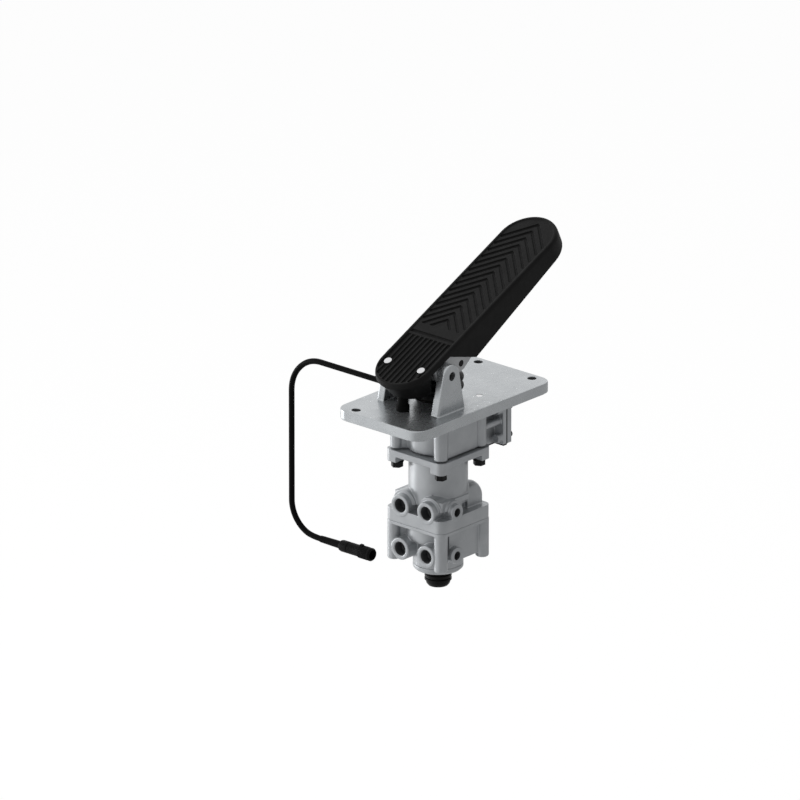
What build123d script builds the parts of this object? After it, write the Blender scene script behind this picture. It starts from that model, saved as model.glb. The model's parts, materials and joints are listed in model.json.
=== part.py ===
from build123d import *
import math
import os

# Foot-operated dual-circuit service brake valve. All lengths are millimetres, all angles degrees.
# Z = 0 is the underside of the pedal plate, the valve hangs below it on the axis X = Y = 0,
# and the toe of the pedal points to +X.

# Clearances between pieces
running = 0.05
seated = 0.02
bolt_gap = 0.5
contact_gap = 0.1

# Pedal plate
plate_heel = 112
plate_toe = 134
plate_width = 136
plate_thick = 13
plate_corner = 18
plate_rounding = 1.5
floor_hole_r = 5.5
floor_hole_edge = 12
floor_hole_y = 43
pad_proud = 1.5
pad_margin = 3

# Ears and pivot
pivot_x = -30.5
pivot_z = 59
pin_r = 5.4
pin_recess = 6
ear_inner_y = 37.7
ear_thick = 12
ear_top_r = 14.5
ear_heel_reach = 27
ear_toe_reach = 24.5
ear_foot = 2.5
ear_chamfer = 2.2
bush_wall = 1.6
bush_flange = 0.6
bush_flange_r = 9.5
hub_wall = 4
lever_side_gap = 0.8

# Pedal travel
pedal_angle = 24.9
pedal_travel = 20
roller_r = 10
roller_width = 25
roller_pin_r = 4
roller_side_gap = 0.5

# Pedal pad and lever, along and square to the pedal's top face, from the pivot
pad_heel_u = -20
pad_toe_u = 219.3
pad_r = 40
pad_top_v = 23.4
pad_thick = 7.4
pad_rim = 5
pad_field_drop = 1
skirt_wall = 2.8
skirt_corner_u = 52.9
skirt_corner_v = -16.5
skirt_toe_v = 2
notch_u = 15
groove_deep = 1.8
groove_width = 3.2
chevron_count = 15
chevron_pitch = 12.96
chevron_past_toe = 25.7
chevron_reach = 33
cross_groove_u = 32.7
chevron_end_gap = 16
rib_groove_count = 10
rib_groove_pitch = 7
rivet_u = -23.5
rivet_y = 26.4
rivet_head_r = 5
rivet_shank_r = 2.5
rivet_head_high = 1.4
web_thick = 5
web_r = 34
cheek_thick = 5.4
cheek_hub_r = 13
cheek_lobe_r = 9.5
cheek_toe_u = 170
rib_thick = 4
rib_toe_u = 120
heel_block_r = 36.5
heel_block_taper = 20
heel_block_wall = 4
heel_block_front_u = -20.5

# Heel stop
stop_x = -64
stop_r = 8
stop_neck_r = 6.6
stop_foot_high = 7
stop_high = 19.5
stop_stud_r = 4
stop_stud_long = 9
stop_gap = 0.05

# Plunger, its guide and the dust boot
plunger_r = 11
plunger_head_r = 14
plunger_head_thick = 4.3
plunger_groove_deep = 1.5
plunger_seat_r = 24
plunger_seat_thick = 5
plunger_spigot_r = 8.5
plunger_spigot_long = 5
guide_wall = 6
guide_flange_r = 21
guide_flange_thick = 3
guide_proud = 3
boot_crest_r = 30.6
boot_valley_r = 25
boot_foot_r = 28
boot_wall = 2
boot_lobes = 2
boot_lobe_pitch = 11
boot_valley_high = 9.5
boot_lip = 2.8

# Spring housing
housing_long = 48.7
housing_r = 37
housing_bore_r = 28
bolt_pitch = 70
bolt_r = 4
bolt_collar_r = 8.4
bolt_collar = 1.6
bolt_hex_r = 7.5
bolt_head = 8.4
bolt_end_drop = 0.3
column_r = 8.5
column_web = 14
side_pad_y = 40
gasket_thick = 1.2

# Sensor box on the toe side of the spring housing
box_back_x = 47
box_face_x = 76
box_half_width = 43
box_low = 58.6
box_wall = 4
box_corner = 4
pocket_deep = 14
box_flange_thick = 6
sensor_gasket_thick = 1.2
cover_thick = 8.8
cover_screw_edge = 6
cover_screw_high = 14
cover_screw_low = 50
cover_screw_r = 2
cover_screw_boss_r = 5.5
screw_boss_long = 14
screw_hole_long = 10
cover_screw_head_r = 4
cover_screw_head = 3
strut_r = 4.2
strut_z = -29
sensor_block = (20, 30, 26)

# Valve body, upper part
flange_margin = 11
flange_corner = 2.5
gasket_inset = 2
flange_thick = 8.2
lug_deep = 7.3
lug_width = 18
barrel_r = 36
upper_long = 90.9
barrel_long = 54.6
joint_thick = 16.3
joint_corner = 10
core_width = 60
core_corner = 14
barrel_tail = 11.5
hump_r = 18
hump_face_x = 38.5
side_hump_r = 13.5
side_hump_face_y = 41
shoulder_y = 38
shoulder_heel_x = 35.4
shoulder_toe_x = 7
ledge_thick = 7

# Ports, shared by both parts of the body
upper_port_high = 22.5
lower_port_deep = 33
port_y = 20.8
port_face_x = 46.8
port_boss_r = 14
port_r = 8.25
port_deep = 13.5
port_countersink = 1.5
side_port_x = -18
side_port_face_y = 47.4
side_boss_r = 10.5
side_port_r = 5.25
side_port_deep = 12
side_port_countersink = 0.8
passage_r = 4
drill_r = 2

# Closed cross-bore housing on the toe side of the upper body
dome_y = -18
dome_r = 17
dome_end_x = 46
dome_start_x = 14
dome_rounding = 9
dome_top_above = 5.5

# Valve body, lower part
lower_long = 50.7
foot_long = 13.5
foot_r = 30.6
foot_chamfer = 3
foot_tongue_r = 26
foot_tongue_width = 3.5
foot_tongue_high = 2.5
rim_thick = 4.5
wall_width = 78
wall_corner = 9
wall_deep = 44
wall_heel_x = 24
relay_wall = 6.5
relay_wall_deep = 24.7
relay_wall_rounding = 6
post_r = 8.3
post_web = 9
post_web_short = 6
post_rounding = 2.5
post_offset = 5
joint_margin = 8.5
screw_r = 3
screw_head_r = 5
screw_head = 6
screw_counterbore = 8

# Valve bores and inner pieces
upper_bore_r = 29.5
upper_bore_deep = 32.6
relay_bore_r = 33
relay_bore_up = 12.3
relay_bore_down = 15.7
throat_r = 11.5
throat_long = 12
seat_lip = 1.5
seat_lip_deep = 1
chamber_r = 16
upper_chamber_long = 31
lower_chamber_long = 28
piston_stroke = 3
valve_stroke = 1.2
piston_head_thick = 16
relay_head_thick = 9
stem_r = 7.5
exhaust_r = 2.8
seal_width = 4
seal_deep = 3
cup_r = 21
cup_deep = 4
valve_disc_r = 13.5
valve_disc_thick = 3.5
valve_seal_thick = 2
valve_sleeve_r = 6
valve_sleeve_bore_r = 4.2
valve_sleeve_long = 30
supply_drop = 10
delivery_in = 0.62
delivery_across = 0.42
delivery_over = 2
relay_head_gap = 1.5
valve_guide_thick = 6
clip_thick = 1.3
clip_groove_deep = 1.1
clip_wall = 3
relay_tube_long = 10
top_spring_r = 18
return_coil_r = 21
return_wire_r = 1.3
relay_coil_r = 23
valve_coil_r = 9.5
valve_wire_r = 0.9
coil_turns = 3

# Exhaust silencer
silencer_r = 16.5
silencer_long = 22
silencer_bore_r = 9.5
silencer_chamfer = 4.5
silencer_spigot_r = 12
silencer_spigot_long = 7

# Sensor cable, in the plane X = cable_x
cable_x = 65.5
cable_z = -22.6
cable_r = 3.6
gland_hex = 16
gland_hex_long = 6
gland_taper_long = 14
gland_tip_r = 4.8
gland_spigot_r = 6
cable_far_y = 295
cable_bend = 28
cable_low = -251.5
cable_turn = 32
cable_turn_side = 17.3
cable_turn_edge = 6.1
sleeve_long = 32
sleeve_r = 4.75
plug_y = 247
plug_long = 56
plug_r = 7.25
plug_ring_r = 8.2
plug_ring_long = 12

# Heights and places worked out from the sizes above
flange_width = bolt_pitch + 2 * flange_margin
post_pitch = bolt_pitch + post_offset
joint_width = post_pitch + 2 * joint_margin
housing_top = -pad_proud
housing_low = housing_top - housing_long
flange_top = housing_low - gasket_thick
flange_low = flange_top - flange_thick
lug_low = flange_low - lug_deep
barrel_low = flange_top - barrel_long
seam = flange_top - upper_long
joint_top = seam + joint_thick
post_low = seam - lower_long
foot_low = post_low - foot_long
upper_port_z = seam + upper_port_high
lower_port_z = seam - lower_port_deep
half_travel = math.radians(pedal_travel) / 2
roller_reach = -pivot_x / math.cos(half_travel)
roller_lift = roller_reach * math.sin(half_travel)
roller_u = -pivot_x * math.cos(math.radians(pedal_angle)) + roller_lift * math.sin(math.radians(pedal_angle))
roller_v = pivot_x * math.sin(math.radians(pedal_angle)) + roller_lift * math.cos(math.radians(pedal_angle))
plunger_travel = 2 * roller_lift
plunger_top = pivot_z + roller_lift - roller_r - contact_gap
guide_low = housing_top - guide_flange_thick
plunger_seat_top = guide_low - 4 * contact_gap
piston_top = housing_low - contact_gap
piston_low = piston_top - piston_head_thick
upper_floor = flange_top - upper_bore_deep
relay_roof = seam + relay_bore_up
relay_floor = seam - relay_bore_down
upper_seat = upper_floor - throat_long - seat_lip_deep
lower_seat = relay_floor - throat_long - seat_lip_deep
upper_chamber_low = upper_seat - upper_chamber_long
lower_chamber_low = lower_seat - lower_chamber_long
exhaust_gap = piston_stroke - valve_stroke + contact_gap
relay_top = relay_roof - relay_head_gap
relay_low = relay_top - relay_head_thick
pad_under_v = pad_top_v - pad_thick
web_low_v = pad_under_v - web_thick
cheek_outer_y = ear_inner_y - lever_side_gap
hub_bore_r = pin_r + running + bush_wall
gland_end_y = box_half_width + gland_hex_long + gland_taper_long

UP = (Align.CENTER, Align.CENTER, Align.MIN)
SIDES = (-1, 1)
CORNERS = [(x, y) for x in SIDES for y in SIDES]


def post(radius, low, high, x=0, y=0):
    """A round solid along Z between two heights."""
    return Pos(x, y, low) * Cylinder(radius, high - low, align=UP)


def ring(outer, inner, low, high, x=0, y=0):
    """A round solid with a bore, along Z between two heights."""
    return post(outer, low, high, x, y) - post(inner, low, high, x, y)


def rod(radius, start, end, tip_radius=None):
    """A round or tapered solid between two points."""
    axis = Vector(*end) - Vector(*start)
    place = Plane(origin=start, z_dir=axis)
    if tip_radius is None:
        return place * Cylinder(radius, axis.length, align=UP)
    return place * Cone(radius, tip_radius, axis.length, align=UP)


def slab(outline, low, high):
    """A plan outline raised between two heights."""
    return extrude(Pos(0, 0, low) * outline, high - low)


def across(outline, low_y, high_y):
    """A side-view outline, drawn in X and Z, made thick between two values of Y."""
    return Pos(0, high_y, 0) * extrude(Plane.XZ * outline, high_y - low_y)


def block(x, y, z):
    """A box between two values on each axis."""
    centre = ((x[0] + x[1]) / 2, (y[0] + y[1]) / 2, (z[0] + z[1]) / 2)
    return Pos(*centre) * Box(x[1] - x[0], y[1] - y[0], z[1] - z[0])


def turned(*points):
    """A solid of revolution about Z from points of radius and height."""
    return revolve(Plane.XZ * make_face(Polyline(*points, close=True)), Axis.Z)


def corner_web(x, y, pitch, thick):
    """Plan outline of the web from the middle to one of four corner columns."""
    reach = pitch / math.sqrt(2)
    return Rot(0, 0, math.degrees(math.atan2(y, x))) * Pos(reach / 2, 0) * Rectangle(reach, thick)


def coil(mean_radius, wire_radius, low, high):
    """A compression spring between two seats."""
    rise = high - low - 2 * wire_radius - 2 * contact_gap
    path = Helix(rise / coil_turns, rise, mean_radius)
    wire = sweep(Plane(path @ 0, z_dir=path % 0) * Circle(wire_radius), path, is_frenet=True)
    return Pos(0, 0, low + wire_radius + contact_gap) * wire


def on_pedal(shape):
    """Places a shape drawn from the pivot along the pedal's top face."""
    return Pos(pivot_x, 0, pivot_z) * Rot(0, -pedal_angle, 0) * shape


def stadium(radius, heel_u=pad_heel_u, toe_u=pad_toe_u):
    """The pedal's plan outline at a given half width."""
    return Pos((heel_u + toe_u) / 2, 0) * SlotCenterToCenter(toe_u - heel_u, 2 * radius)


def piston_seal(radius, groove_top):
    """A square-section seal in a piston's groove."""
    return ring(radius - running, radius - seal_deep, groove_top - seal_width + seated, groove_top - seated)


# Plate, pivot and stop
def housing_outline(margin):
    """Plan outline of the spring housing and its sensor box."""
    width = bolt_pitch + 2 * (column_r + margin)
    square = RectangleRounded(width, width, column_r)
    box_long = box_face_x + sensor_gasket_thick + cover_thick + margin
    box = Pos(box_long / 2, 0) * RectangleRounded(box_long, 2 * (box_half_width + margin), box_corner)
    return square + box


def ear_outline():
    """Side view of one ear of the pedal plate."""
    foot = Line(
        (pivot_x - ear_heel_reach, plate_thick - ear_foot),
        (pivot_x + ear_toe_reach, plate_thick - ear_foot),
    )
    crown = Pos(pivot_x, pivot_z) * Circle(ear_top_r)
    return make_hull(crown.edges() + [foot.edge()])


def pedal_plate():
    length = plate_heel + plate_toe
    outline = Pos(length / 2 - plate_heel, 0) * RectangleRounded(length, plate_width, plate_corner)
    plate = slab(outline, 0, plate_thick)
    plate = fillet(plate.edges().group_by(Axis.Z)[-1], plate_rounding)
    plate += slab(housing_outline(pad_margin), -pad_proud, 0)
    for side in SIDES:
        low_y = min(side * ear_inner_y, side * (ear_inner_y + ear_thick))
        ear = across(ear_outline(), low_y, low_y + ear_thick)
        outer = ear.faces().sort_by(Axis.Y)[0 if side < 0 else -1]
        ear = chamfer(outer.edges(), ear_chamfer)
        plate += ear
    plate -= rod(pin_r + seated, (pivot_x, -plate_width, pivot_z), (pivot_x, plate_width, pivot_z))
    for x, y in floor_holes():
        plate -= post(floor_hole_r, 0, plate_thick, x, y)
    for x, y in CORNERS:
        plate -= post(bolt_r + seated, -pad_proud, plate_thick, x * bolt_pitch / 2, y * bolt_pitch / 2)
    plate -= post(plunger_r + guide_wall + seated, -pad_proud, plate_thick)
    plate -= post(stop_stud_r + seated, plate_thick - stop_stud_long, plate_thick, stop_x)
    return plate


def floor_holes():
    """Places of the three holes that hold the plate to the floor."""
    toe_x = plate_toe - floor_hole_edge
    heel_x = floor_hole_edge - plate_heel
    return [(toe_x, floor_hole_y), (toe_x, -floor_hole_y), (heel_x, floor_hole_y)]


def pivot_pin():
    end_y = ear_inner_y + ear_thick - pin_recess
    return rod(pin_r, (pivot_x, -end_y, pivot_z), (pivot_x, end_y, pivot_z))


def heel_stop():
    """Rubber stop that carries the heel of the pedal at rest."""
    body = turned(
        (0, plate_thick),
        (stop_r, plate_thick),
        (stop_r, plate_thick + stop_foot_high),
        (stop_neck_r, plate_thick + stop_foot_high + stop_r - stop_neck_r),
        (stop_neck_r, plate_thick + stop_high),
        (0, plate_thick + stop_high),
    )
    return Pos(stop_x, 0, 0) * (body + post(stop_stud_r, plate_thick - stop_stud_long, plate_thick))


# Pedal
def lever_outline(hub_r, lobe_r, toe_u):
    """Side view of a cheek or rib: hub, roller lobe and a taper towards the toe."""
    hub = Circle(hub_r)
    lobe = Pos(roller_u, roller_v) * Circle(lobe_r)
    top = Line((-hub_r, pad_under_v), (toe_u, pad_under_v))
    return make_hull(hub.edges() + lobe.edges() + [top.edge()])


def treadle_lever():
    """Cast lever: web under the pad, two cheeks, two roller ribs and the hub."""
    lever = slab(stadium(web_r), web_low_v, pad_under_v)
    rib_inner = roller_width / 2 + roller_side_gap
    for side in SIDES:
        cheek_low = min(side * cheek_outer_y, side * (cheek_outer_y - cheek_thick))
        cheek = lever_outline(cheek_hub_r, cheek_lobe_r, cheek_toe_u)
        lever += across(cheek, cheek_low, cheek_low + cheek_thick)
        rib_low = min(side * rib_inner, side * (rib_inner + rib_thick))
        rib = lever_outline(hub_bore_r + hub_wall, cheek_lobe_r - 1, rib_toe_u)
        lever += across(rib, rib_low, rib_low + rib_thick)
    lever += rod(hub_bore_r + hub_wall, (0, -cheek_outer_y, 0), (0, cheek_outer_y, 0))
    lever -= rod(hub_bore_r + seated, (0, -plate_width, 0), (0, plate_width, 0))
    lever -= rod(roller_pin_r + seated, (roller_u, -plate_width, roller_v), (roller_u, plate_width, roller_v))
    for side in SIDES:
        lever -= post(rivet_shank_r + seated, web_low_v, pad_under_v, rivet_u, side * rivet_y)
    return on_pedal(lever)


def pad_side():
    """Side view of the pad with its skirt and the notch that clears the ears."""
    heel_end = pad_heel_u - 2 * pad_r
    toe_end = pad_toe_u + 2 * pad_r
    slope = (skirt_toe_v - skirt_corner_v) / (pad_toe_u + pad_r - skirt_corner_u)
    outline = Polyline(
        (heel_end, pad_top_v),
        (heel_end, pad_under_v),
        (notch_u, pad_under_v),
        (skirt_corner_u, skirt_corner_v),
        (toe_end, skirt_corner_v + slope * (toe_end - skirt_corner_u)),
        (toe_end, pad_top_v),
        close=True,
    )
    return make_face(outline)


def bar(u, y, length, width, angle=0):
    """One groove's plan outline."""
    return Pos(u, y) * Rot(0, 0, angle) * Rectangle(length, width)


def grooves():
    """Plan outline of the pad's tread: chevrons, a cross groove and ribs at the heel."""
    cuts = []
    field_u = cross_groove_u + chevron_end_gap
    chevron_field = Pos(field_u + pad_toe_u, 0) * Rectangle(2 * pad_toe_u, 2 * pad_r)
    for index in range(chevron_count):
        apex = pad_toe_u + chevron_past_toe - index * chevron_pitch
        for side in SIDES:
            middle = chevron_reach / 2
            leg = bar(apex - middle, side * middle, chevron_reach * math.sqrt(2), groove_width, -45 * side)
            cuts.append(leg & chevron_field)
    cuts.append(bar(cross_groove_u, 0, groove_width, 2 * chevron_reach))
    heel_end = pad_heel_u - pad_r
    start_u = cross_groove_u - 2 * groove_width
    for index in range(rib_groove_count):
        y = (index - (rib_groove_count - 1) / 2) * rib_groove_pitch
        cuts.append(bar((start_u + heel_end) / 2, y, start_u - heel_end, groove_width))
    field = stadium(pad_r - pad_rim)
    return [cut & field for cut in cuts]


def treadle_pad():
    """Rubber pad with a raised rim, a deep skirt and a grooved tread."""
    body = slab(stadium(pad_r), 2 * skirt_corner_v, pad_top_v)
    body = fillet(body.edges().group_by(Axis.Z)[-1], 2 * plate_rounding)
    body &= across(pad_side(), -2 * pad_r, 2 * pad_r)
    body -= slab(stadium(pad_r - skirt_wall), 3 * skirt_corner_v, pad_under_v)
    field_v = pad_top_v - pad_field_drop
    body -= slab(stadium(pad_r - pad_rim), field_v, pad_top_v)
    body -= [slab(cut, field_v - groove_deep, field_v) for cut in grooves()]
    for side in SIDES:
        body -= post(rivet_shank_r + seated, pad_under_v, pad_top_v, rivet_u, side * rivet_y)
        body -= post(rivet_head_r + seated, field_v - groove_deep, pad_top_v, rivet_u, side * rivet_y)
    return on_pedal(body)


def heel_block():
    """Hollow moulded bowl under the heel, which rests on the heel stop and holds the lever's web."""
    deep = pivot_z / 2
    slope = math.tan(math.radians(heel_block_taper))
    floor_z = plate_thick + stop_high + stop_gap
    heel_half = Pos(heel_block_front_u - 2 * pad_r, 0) * Rectangle(4 * pad_r, 4 * pad_r)
    bowls = []
    for radius, top_v in ((heel_block_r, pad_under_v), (heel_block_r - heel_block_wall, web_low_v)):
        cone = Cone(radius - (top_v + deep) * slope, radius, top_v + deep, align=UP)
        bowls.append(Pos(pad_heel_u, 0, -deep) * cone)
    outer, hollow = bowls
    outer &= slab(heel_half, -deep, pad_under_v)
    hollow &= slab(Pos(-heel_block_wall, 0) * heel_half, -deep, web_low_v)
    outer -= slab(stadium(web_r + seated), web_low_v, pad_under_v)
    for side in SIDES:
        tail_room = 2 * rivet_shank_r + bolt_gap
        outer -= post(tail_room, web_low_v - rivet_head_high - bolt_gap, web_low_v, rivet_u, side * rivet_y)
    span = (-2 * plate_heel, plate_toe)
    wide = (-plate_width, plate_width)
    below_floor = block(span, wide, (floor_z - plate_heel, floor_z))
    below_room = block(span, wide, (floor_z - plate_heel, floor_z + heel_block_wall))
    return (on_pedal(outer) - below_floor) - (on_pedal(hollow) - below_room)


def pedal_rivets():
    low_v = web_low_v - rivet_head_high
    field_v = pad_top_v - pad_field_drop - groove_deep
    head = turned(
        (0, field_v),
        (rivet_head_r, field_v),
        (rivet_head_r, field_v + groove_deep + rivet_head_high / 2),
        (rivet_head_r / 2, field_v + groove_deep + rivet_head_high),
        (0, field_v + groove_deep + rivet_head_high),
    )
    rivet = head + post(rivet_shank_r, low_v, field_v) + post(2 * rivet_shank_r, low_v, web_low_v)
    return on_pedal(Compound([Pos(rivet_u, side * rivet_y, 0) * rivet for side in SIDES]))


def pivot_bushes():
    """Two flanged bushes between the lever's hub and the pivot pin."""
    long = cheek_thick * 2
    parts = []
    for side in SIDES:
        inner = (0, side * (cheek_outer_y - long), 0)
        face = (0, side * cheek_outer_y, 0)
        lip = (0, side * (cheek_outer_y + bush_flange), 0)
        bush = rod(hub_bore_r, inner, face) + rod(bush_flange_r, face, lip)
        parts.append(bush - rod(pin_r + running, inner, lip))
    return on_pedal(Compound(parts))


def roller_pin():
    end_y = cheek_outer_y - contact_gap
    return on_pedal(rod(roller_pin_r, (roller_u, -end_y, roller_v), (roller_u, end_y, roller_v)))


def pedal_roller():
    half = roller_width / 2
    wheel = rod(roller_r, (roller_u, -half, roller_v), (roller_u, half, roller_v))
    wheel = chamfer(wheel.edges(), 1)
    bore = rod(roller_pin_r + running, (roller_u, -half, roller_v), (roller_u, half, roller_v))
    return on_pedal(wheel - bore)


# Plunger and boot
def plunger():
    groove_top = plunger_top - plunger_head_thick - 1
    return turned(
        (0, plunger_top),
        (plunger_head_r - 1, plunger_top),
        (plunger_head_r, plunger_top - 1),
        (plunger_head_r, plunger_top - plunger_head_thick),
        (plunger_r, plunger_top - plunger_head_thick),
        (plunger_r, groove_top),
        (plunger_r - plunger_groove_deep, groove_top),
        (plunger_r - plunger_groove_deep, groove_top - boot_lip),
        (plunger_r, groove_top - boot_lip),
        (plunger_r, plunger_seat_top),
        (plunger_seat_r, plunger_seat_top),
        (plunger_seat_r, plunger_seat_top - plunger_seat_thick),
        (plunger_spigot_r, plunger_seat_top - plunger_seat_thick),
        (plunger_spigot_r, plunger_seat_top - plunger_seat_thick - plunger_spigot_long),
        (0, plunger_seat_top - plunger_seat_thick - plunger_spigot_long),
    )


def plunger_guide():
    bore = plunger_r + running
    outer = plunger_r + guide_wall
    return ring(outer, bore, housing_top, plate_thick + guide_proud) + ring(
        guide_flange_r, bore, guide_low, housing_top)


def dust_boot():
    """Rubber bellows between the plate and the plunger's head."""
    lip_top = plunger_top - plunger_head_thick - 1 - contact_gap
    lip_low = lip_top - boot_lip + 2 * contact_gap
    lip_r = plunger_r - plunger_groove_deep + contact_gap
    valleys = [plate_thick + boot_valley_high + n * boot_lobe_pitch for n in range(boot_lobes + 1)]
    outer = [Line((boot_foot_r, plate_thick), (boot_valley_r, valleys[0]))]
    inner = [Line((boot_foot_r - boot_wall, plate_thick), (boot_valley_r - boot_wall, valleys[0]))]
    for low, high in zip(valleys, valleys[1:]):
        middle = (low + high) / 2
        outer.append(ThreePointArc((boot_valley_r, low), (boot_crest_r, middle), (boot_valley_r, high)))
        inner.append(
            ThreePointArc(
                (boot_valley_r - boot_wall, low),
                (boot_crest_r - boot_wall, middle),
                (boot_valley_r - boot_wall, high),
            ))
    crown = Polyline(
        (boot_valley_r, valleys[-1]),
        (plunger_head_r, lip_top),
        (lip_r, lip_top),
        (lip_r, lip_low),
        (plunger_head_r - boot_wall, lip_low),
        (boot_valley_r - boot_wall, valleys[-1]),
    )
    foot = Line((boot_foot_r - boot_wall, plate_thick), (boot_foot_r, plate_thick))
    wall = Plane.XZ * make_face([edge for part in outer + [crown, foot] + inner for edge in part.edges()])
    return revolve(wall, Axis.Z)


# Spring housing and sensor box
def spring_housing():
    body = post(housing_r, housing_low, housing_top)
    for x, y in CORNERS:
        body += post(column_r, housing_low, housing_top, x * bolt_pitch / 2, y * bolt_pitch / 2)
        body += slab(corner_web(x, y, bolt_pitch, column_web), housing_low, housing_top)
    pad_half = bolt_pitch / 2 - column_r
    body += block((-pad_half, pad_half), (-side_pad_y, 0), (housing_low, housing_top))
    pocket_y = pocket_deep - box_half_width
    body += block((box_back_x, box_face_x), (pocket_y, box_half_width), (-box_low, housing_top))
    body += block((housing_bore_r, box_back_x), (pocket_y, box_half_width), (housing_low, housing_top))
    flange_x = box_face_x - box_flange_thick
    body += block((flange_x, box_face_x), (-box_half_width, box_half_width), (-box_low, housing_top))
    strut_y = pocket_y - pocket_deep / 2
    body += rod(strut_r, (bolt_pitch / 2, strut_y, strut_z), (box_face_x - 1, strut_y, strut_z))
    body -= post(housing_bore_r, housing_low, housing_top)
    box_room = block(
        (box_back_x + box_wall, box_face_x),
        (pocket_y + box_wall, box_half_width - box_wall),
        (box_wall - box_low, housing_top - box_wall),
    )
    body -= box_room
    for y, z in cover_screw_places():
        boss = rod(cover_screw_boss_r, (box_face_x - screw_boss_long, y, z), (box_face_x, y, z))
        body += boss & block((0, box_face_x), (-box_half_width, box_half_width), (-box_low, housing_top))
    for x, y in CORNERS:
        body -= post(bolt_r + bolt_gap, housing_low, housing_top, x * bolt_pitch / 2, y * bolt_pitch / 2)
    for y, z in cover_screw_places():
        body -= rod(cover_screw_r + seated, (box_face_x - screw_hole_long, y, z), (box_face_x, y, z))
    body -= rod(
        gland_spigot_r + seated,
        (cable_x, box_half_width - box_wall, cable_z),
        (cable_x, box_half_width, cable_z),
    )
    return body


def cover_screw_places():
    screw_y = box_half_width - cover_screw_edge
    return [(side * screw_y, -high) for side in SIDES for high in (cover_screw_high, cover_screw_low)]


def end_plate(low_x, high_x, open_middle):
    """A plate over the open end of the sensor box, with its screw holes."""
    plate = block((low_x, high_x), (-box_half_width, box_half_width), (-box_low, housing_top))
    if open_middle:
        room = block(
            (low_x, high_x),
            (pocket_deep - box_half_width + box_wall, box_half_width - box_wall),
            (box_wall - box_low, housing_top - box_wall),
        )
        plate -= room - [rod(cover_screw_boss_r, (low_x, y, z), (high_x, y, z)) for y, z in cover_screw_places()]
    for y, z in cover_screw_places():
        plate -= rod(cover_screw_r + seated, (low_x, y, z), (high_x, y, z))
    return plate


def sensor_gasket():
    return end_plate(box_face_x, box_face_x + sensor_gasket_thick, True)


def sensor_cover():
    low_x = box_face_x + sensor_gasket_thick
    cover = end_plate(low_x, low_x + cover_thick, False)
    outer = cover.faces().sort_by(Axis.X)[-1]
    return chamfer(outer.outer_wire().edges(), plate_rounding)


def cover_screws():
    start_x = box_face_x - screw_hole_long
    face_x = box_face_x + sensor_gasket_thick + cover_thick
    screws = []
    for y, z in cover_screw_places():
        shank = rod(cover_screw_r, (start_x + 1, y, z), (face_x, y, z))
        head = rod(cover_screw_head_r, (face_x, y, z), (face_x + cover_screw_head, y, z))
        socket = Pos(face_x + cover_screw_head, y, z) * Rot(0, 90, 0) * extrude(
            RegularPolygon(cover_screw_head_r / 2, 6), -cover_screw_head / 2)
        screws.append(shank + head - socket)
    return Compound(screws)


def position_sensor():
    """Sensor block on the back wall of the box."""
    long, wide, high = sensor_block
    back_x = box_back_x + box_wall
    middle_y = (pocket_deep - box_half_width + box_half_width) / 2
    middle_z = -box_low / 2
    return block(
        (back_x, back_x + long),
        (middle_y - wide / 2, middle_y + wide / 2),
        (middle_z - high / 2, middle_z + high / 2),
    )


def body_gasket():
    gasket_width = flange_width - 2 * gasket_inset
    gasket = slab(RectangleRounded(gasket_width, gasket_width, flange_corner), flange_top, housing_low)
    gasket -= post(upper_bore_r + running, flange_top, housing_low)
    for x, y in CORNERS:
        gasket -= post(bolt_r + bolt_gap, flange_top, housing_low, x * bolt_pitch / 2, y * bolt_pitch / 2)
    return gasket


# Valve body castings
def main_port(z, y, body):
    """Adds a supply or delivery port on the heel side to a body."""
    boss = rod(port_boss_r, (-port_face_x, y, z), (-port_boss_r, y, z))
    rim = boss.edges().filter_by(GeomType.CIRCLE).sort_by(Axis.X)[0]
    body += chamfer(rim, 1)
    hole = rod(port_r, (-port_face_x, y, z), (port_deep - port_face_x, y, z))
    mouth_end = (port_countersink - port_face_x, y, z)
    mouth = rod(port_r + port_countersink, (-port_face_x, y, z), mouth_end, port_r)
    return body, hole + mouth


def side_port(z, body):
    """Adds a test port on the near side to a body."""
    boss = rod(side_boss_r, (side_port_x, -side_port_face_y, z), (side_port_x, -side_boss_r, z))
    rim = boss.edges().filter_by(GeomType.CIRCLE).sort_by(Axis.Y)[0]
    body += chamfer(rim, 1)
    hole_end = (side_port_x, side_port_deep - side_port_face_y, z)
    hole = rod(side_port_r, (side_port_x, -side_port_face_y, z), hole_end)
    mouth = rod(
        side_port_r + side_port_countersink,
        (side_port_x, -side_port_face_y, z),
        (side_port_x, side_port_countersink - side_port_face_y, z),
        side_port_r,
    )
    return body, hole + mouth


def passages(port_z, chamber_z, bore_floor):
    """Drillings from the ports: supply to the valve chamber, delivery and test port to the bore above."""
    start_x = port_deep - port_face_x - 1
    supply = rod(passage_r, (start_x, port_y, port_z), (-chamber_r / 2, chamber_r / 4, chamber_z))
    bore_point = (-delivery_in * upper_bore_r, -delivery_across * upper_bore_r, bore_floor + delivery_over)
    delivery = rod(passage_r, (start_x, -port_y, port_z), bore_point)
    test_start = (side_port_x, side_port_deep - side_port_face_y - 1, port_z)
    middle = tuple((a + b) / 2 for a, b in zip((start_x, -port_y, port_z), bore_point))
    return supply + delivery + rod(drill_r, test_start, middle)


def valve_bore(floor, seat, chamber_low):
    """Throat, raised inlet seat and chamber for one inlet valve, with the groove of its clip."""
    bore = post(throat_r, seat, floor)
    chamber = post(chamber_r, chamber_low, seat + seat_lip_deep)
    chamber -= ring(throat_r + seat_lip, throat_r, seat, seat + seat_lip_deep)
    groove_low = chamber_low + 1
    groove = post(chamber_r + clip_groove_deep, groove_low, groove_low + clip_thick)
    return bore + chamber + groove


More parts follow.
